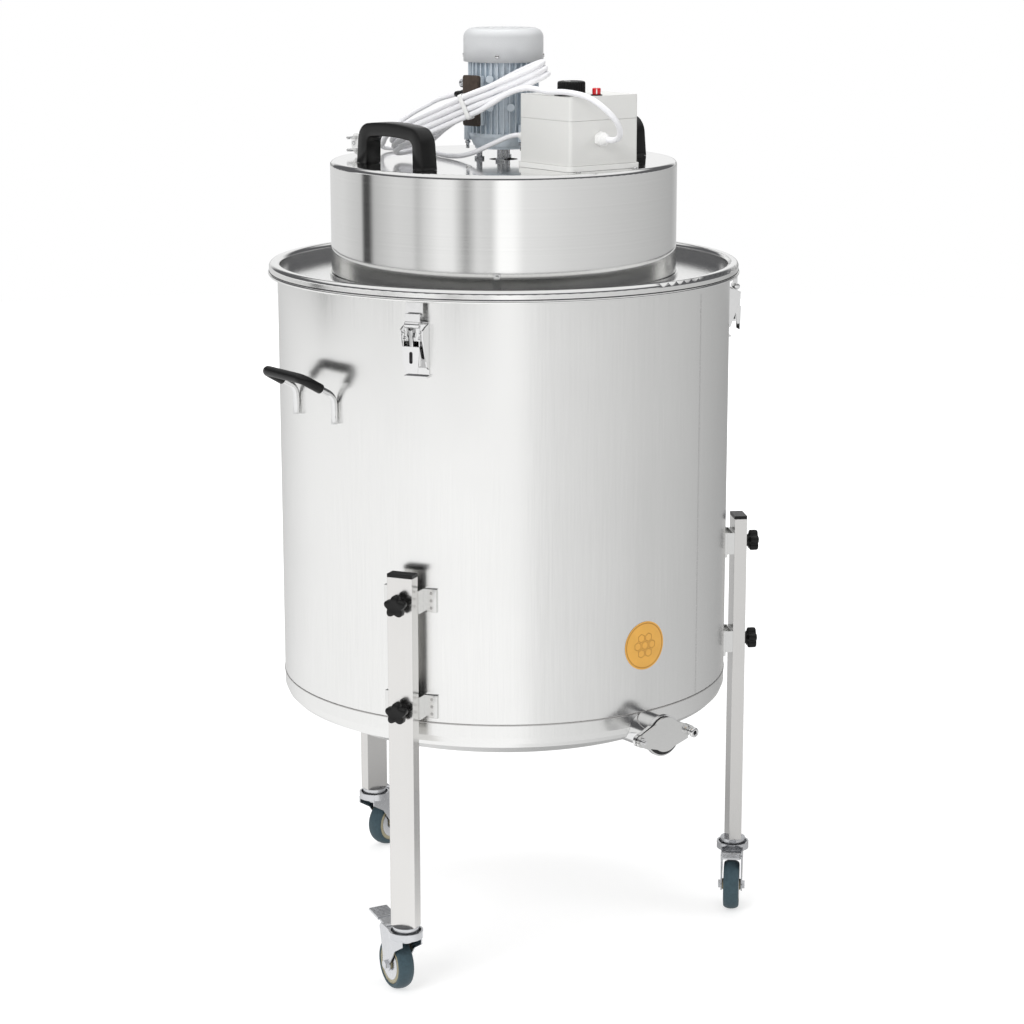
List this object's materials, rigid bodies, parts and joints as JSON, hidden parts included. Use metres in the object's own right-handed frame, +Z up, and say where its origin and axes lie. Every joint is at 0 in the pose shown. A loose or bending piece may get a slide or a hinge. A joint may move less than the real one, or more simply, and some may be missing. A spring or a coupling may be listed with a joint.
{
  "type": "honey wax separator",
  "caption": "Round steel tank on castored legs with a sunk cover ring, a polished hood carrying a finned motor and control box, a slotted drum inside and a drain gate.",
  "frame": {"origin": "on the floor, on the tank's axis", "axes": "+Z up along the tank's axis, -Y towards the drain gate, +X to the right when the gate is faced"},
  "size_m": [0.8252, 0.8288, 1.424],
  "materials": {
    "tank_steel": "satin stainless steel with an upright grain",
    "ring_steel": "satin stainless steel, drawn round",
    "hood_steel": "polished stainless steel",
    "leg_steel": "satin stainless tube",
    "bright_steel": "bright stainless steel",
    "drum_steel": "satin stainless sheet with punched windows",
    "zinc": "bright zinc plating",
    "black_plastic": "moulded black plastic",
    "black_rubber": "black rubber",
    "tyre_grey": "blue-grey elastic tyre on a tan core",
    "box_grey": "light grey moulded box",
    "motor_grey": "blue-grey enamel on cast aluminium",
    "cowl_grey": "silver enamel on pressed sheet",
    "terminal_brown": "dark brown moulded box with a black gland",
    "cord_white": "soft white cord jacket",
    "red_plastic": "red button with a white mark",
    "fan_grey": "dark moulded fan"
  },
  "bodies": {
    "machine": {"tank_wall": "tank_steel", "bottom_pan": "ring_steel", "cover_ring": "ring_steel", "legs": "leg_steel", "leg_caps": "black_plastic", "leg_brackets": "bright_steel", "castor_stems": "zinc", "handle_bars": "bright_steel", "handle_grips": "black_rubber", "latch_bases": "bright_steel", "latch_catches": "bright_steel", "gate_body": "bright_steel", "gate_gasket": "black_rubber", "bearing_spider": "leg_steel", "lower_bearing": "zinc"},
    "gate": {"gate_plate": "bright_steel"},
    "clamp_knob": {"gate_knob": "bright_steel"},
    "star_left_top": {"star_knob_left_top": "black_plastic"},
    "star_left_low": {"star_knob_left_low": "black_plastic"},
    "star_right_top": {"star_knob_right_top": "black_plastic"},
    "star_right_low": {"star_knob_right_low": "black_plastic"},
    "star_rear_top": {"star_knob_rear_top": "black_plastic"},
    "star_rear_low": {"star_knob_rear_low": "black_plastic"},
    "fork_left": {"castor_fork_left": "zinc"},
    "wheel_left": {"castor_wheel_left": "tyre_grey"},
    "pedal_left": {"brake_pedal_left": "zinc"},
    "fork_right": {"castor_fork_right": "zinc"},
    "wheel_right": {"castor_wheel_right": "tyre_grey"},
    "pedal_right": {"brake_pedal_right": "zinc"},
    "fork_rear": {"castor_fork_rear": "zinc"},
    "wheel_rear": {"castor_wheel_rear": "tyre_grey"},
    "pedal_rear": {"brake_pedal_rear": "zinc"},
    "lever_left": {"latch_lever_left": "bright_steel"},
    "hook_left": {"latch_hook_left": "bright_steel"},
    "lever_right": {"latch_lever_right": "bright_steel"},
    "hook_right": {"latch_hook_right": "bright_steel"},
    "lever_rear": {"latch_lever_rear": "bright_steel"},
    "hook_rear": {"latch_hook_rear": "bright_steel"},
    "hood_unit": {"hood": "hood_steel", "hood_clips": "hood_steel", "hood_handles": "black_plastic", "box_tray": "hood_steel", "box_base": "box_grey", "box_lid": "box_grey", "box_glands": "cord_white", "motor_pillars": "zinc", "motor_body": "motor_grey", "motor_cowl": "cowl_grey", "terminal_box": "terminal_brown", "mains_cord": "cord_white", "cord_hank": "cord_white", "hank_tie": "cord_white", "mains_plug": "cord_white", "motor_lead": "cord_white"},
    "dial": {"dial_knob": "black_plastic"},
    "button": {"push_button": "red_plastic"},
    "drum_rotor": {"drum": "drum_steel", "drum_shaft": "bright_steel"},
    "motor_rotor": {"motor_shaft": "bright_steel", "motor_fan": "fan_grey"}
  },
  "joints": [
    {"name": "gate_swing", "type": "hinge", "parent": "machine", "child": "gate", "pos_m": [-0.046, -0.4, 0.398], "axis": [0, -1, 0], "range_deg": [0, 90]},
    {"name": "clamp_knob_turn", "type": "hinge", "parent": "machine", "child": "clamp_knob", "pos_m": [0.046, -0.408, 0.398], "axis": [0, -1, 0], "continuous": true},
    {"name": "star_left_top_turn", "type": "hinge", "parent": "machine", "child": "star_left_top", "pos_m": [-0.34208, -0.1975, 0.611], "axis": [-0.866, -0.5, 0], "continuous": true},
    {"name": "star_left_low_turn", "type": "hinge", "parent": "machine", "child": "star_left_low", "pos_m": [-0.34208, -0.1975, 0.449], "axis": [-0.866, -0.5, 0], "continuous": true},
    {"name": "star_right_top_turn", "type": "hinge", "parent": "machine", "child": "star_right_top", "pos_m": [0.34208, -0.1975, 0.611], "axis": [0.866, -0.5, 0], "continuous": true},
    {"name": "star_right_low_turn", "type": "hinge", "parent": "machine", "child": "star_right_low", "pos_m": [0.34208, -0.1975, 0.449], "axis": [0.866, -0.5, 0], "continuous": true},
    {"name": "star_rear_top_turn", "type": "hinge", "parent": "machine", "child": "star_rear_top", "pos_m": [0, 0.395, 0.611], "axis": [0, 1, 0], "continuous": true},
    {"name": "star_rear_low_turn", "type": "hinge", "parent": "machine", "child": "star_rear_low", "pos_m": [0, 0.395, 0.449], "axis": [0, 1, 0], "continuous": true},
    {"name": "castor_swivel_left", "type": "hinge", "parent": "machine", "child": "fork_left", "pos_m": [-0.32736, -0.189, 0.095], "axis": [0, 0, 1], "continuous": true},
    {"name": "wheel_roll_left", "type": "hinge", "parent": "fork_left", "child": "wheel_left", "pos_m": [-0.32248, -0.15636, 0.04], "axis": [-0.989, 0.1478, 0], "continuous": true},
    {"name": "brake_release_left", "type": "hinge", "parent": "fork_left", "child": "pedal_left", "pos_m": [-0.32027, -0.14153, 0.094], "axis": [0.989, -0.1478, 0], "range_deg": [0, 16]},
    {"name": "castor_swivel_right", "type": "hinge", "parent": "machine", "child": "fork_right", "pos_m": [0.32736, -0.189, 0.095], "axis": [0, 0, 1], "continuous": true},
    {"name": "wheel_roll_right", "type": "hinge", "parent": "fork_right", "child": "wheel_right", "pos_m": [0.30464, -0.21294, 0.04], "axis": [0.7254, -0.6884, 0], "continuous": true},
    {"name": "brake_release_right", "type": "hinge", "parent": "fork_right", "child": "pedal_right", "pos_m": [0.29432, -0.22382, 0.094], "axis": [-0.7254, 0.6884, 0], "range_deg": [0, 16]},
    {"name": "castor_swivel_rear", "type": "hinge", "parent": "machine", "child": "fork_rear", "pos_m": [0, 0.378, 0.095], "axis": [0, 0, 1], "continuous": true},
    {"name": "wheel_roll_rear", "type": "hinge", "parent": "fork_rear", "child": "wheel_rear", "pos_m": [0.03215, 0.38542, 0.04], "axis": [-0.225, 0.9744, 0], "continuous": true},
    {"name": "brake_release_rear", "type": "hinge", "parent": "fork_rear", "child": "pedal_rear", "pos_m": [0.04677, 0.3888, 0.094], "axis": [0.225, -0.9744, 0], "range_deg": [0, 16]},
    {"name": "latch_open_left", "type": "hinge", "parent": "machine", "child": "lever_left", "pos_m": [-0.31163, -0.19853, 1.0079], "axis": [-0.5373, 0.8434, 0], "range_deg": [0, 105]},
    {"name": "hook_turn_left", "type": "hinge", "parent": "lever_left", "child": "hook_left", "pos_m": [-0.31163, -0.19853, 0.9999], "axis": [-0.5373, 0.8434, 0], "range_deg": [-126, 0]},
    {"name": "latch_open_right", "type": "hinge", "parent": "machine", "child": "lever_right", "pos_m": [0.32775, -0.17062, 1.0079], "axis": [-0.4617, -0.887, 0], "range_deg": [0, 105]},
    {"name": "hook_turn_right", "type": "hinge", "parent": "lever_right", "child": "hook_right", "pos_m": [0.32775, -0.17062, 0.9999], "axis": [-0.4617, -0.887, 0], "range_deg": [-126, 0]},
    {"name": "latch_open_rear", "type": "hinge", "parent": "machine", "child": "lever_rear", "pos_m": [-0.01612, 0.36915, 1.0079], "axis": [0.999, 0.0436, 0], "range_deg": [0, 105]},
    {"name": "hook_turn_rear", "type": "hinge", "parent": "lever_rear", "child": "hook_rear", "pos_m": [-0.01612, 0.36915, 0.9999], "axis": [0.999, 0.0436, 0], "range_deg": [-126, 0]},
    {"name": "hood_lift", "type": "slide", "parent": "machine", "child": "hood_unit", "axis": [0, 0, 1], "range_m": [0, 0.25]},
    {"name": "dial_turn", "type": "hinge", "parent": "hood_unit", "child": "dial", "pos_m": [-0.024, -0.198, 1.335], "axis": [0, 0, -1], "range_deg": [0, 270]},
    {"name": "button_press", "type": "slide", "parent": "hood_unit", "child": "button", "axis": [0, 0, -1], "range_m": [0, 0.004], "stiffness_N_per_m": 600, "springref_m": -0.003},
    {"name": "drum_spin", "type": "hinge", "parent": "machine", "child": "drum_rotor", "pos_m": [0, 0, 0.7], "axis": [0, 0, 1], "continuous": true},
    {"name": "motor_spin", "type": "hinge", "parent": "hood_unit", "child": "motor_rotor", "pos_m": [0, 0, 1.2], "axis": [0, 0, 1], "continuous": true}
  ],
  "couplings": [
    {"joint": "hook_turn_left", "follows": "latch_open_left", "ratio": -1.2},
    {"joint": "hook_turn_right", "follows": "latch_open_right", "ratio": -1.2},
    {"joint": "hook_turn_rear", "follows": "latch_open_rear", "ratio": -1.2},
    {"joint": "motor_spin", "follows": "drum_spin", "ratio": 1}
  ]
}
